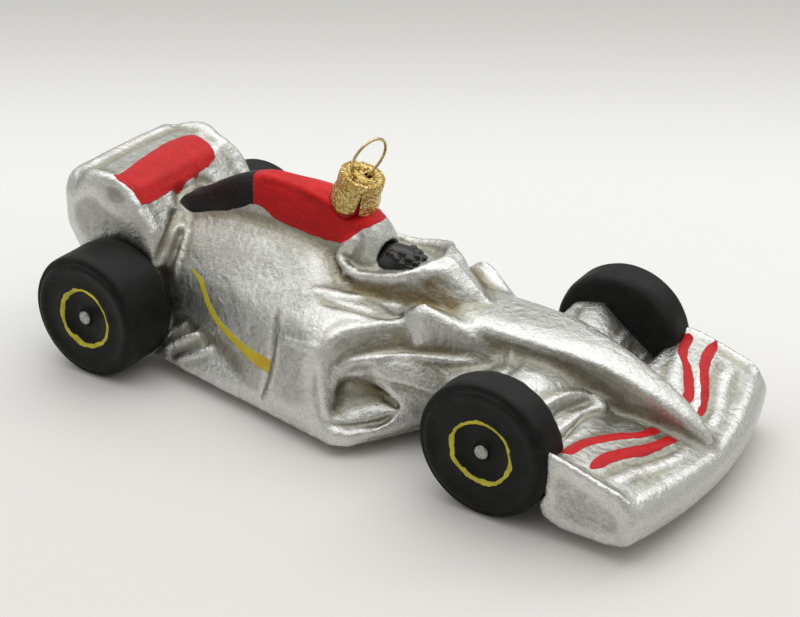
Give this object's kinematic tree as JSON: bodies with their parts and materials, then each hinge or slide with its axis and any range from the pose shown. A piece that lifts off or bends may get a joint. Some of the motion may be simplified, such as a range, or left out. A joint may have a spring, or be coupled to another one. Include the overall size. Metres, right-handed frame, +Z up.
{
  "type": "blown glass racing car ornament",
  "caption": "Hanging ornament of silvered blown glass in the form of an open wheel racing car, with a crimped metal cap and a wire loop.",
  "frame": {"origin": "on the ground below the middle of the overall box", "axes": "+X to the nose, +Y to the car's left, +Z up; the car stands on its four wheels"},
  "size_m": [0.1365, 0.0602, 0.0511],
  "materials": {
    "silver_glass": "silvered inside, finely mottled, soft gloss",
    "red_lacquer": "glossy brushed enamel over silvered glass",
    "black_lacquer": "satin enamel over glass",
    "gold_cap": "stamped grain, bright",
    "gold_wire": "bright drawn"
  },
  "bodies": {
    "glass": {"tub": "silver_glass", "engine_cover": "red_lacquer", "side_pod_left": "silver_glass", "side_pod_right": "silver_glass", "floor": "silver_glass", "front_wing": "silver_glass", "rear_wing": "silver_glass", "mirror_left": "silver_glass", "mirror_right": "silver_glass", "front_suspension_left": "silver_glass", "front_suspension_right": "silver_glass", "rear_axle_fairing": "silver_glass", "neck": "silver_glass", "helmet": "black_lacquer", "front_wheel_left": "black_lacquer", "front_wheel_right": "black_lacquer", "rear_wheel_left": "black_lacquer", "rear_wheel_right": "black_lacquer"},
    "cap": {"cap": "gold_cap"},
    "hanger": {"hanger_loop": "gold_wire"}
  },
  "joints": [
    {"name": "cap_lift", "type": "slide", "parent": "glass", "child": "cap", "axis": [0.3173, 0, 0.9483], "range_m": [0, 0.012]},
    {"name": "loop_rock", "type": "hinge", "parent": "cap", "child": "hanger", "pos_m": [-0.00867, 0, 0.04341], "axis": [0.1809, 0.9816, -0.0605], "range_deg": [-10, 10]}
  ]
}
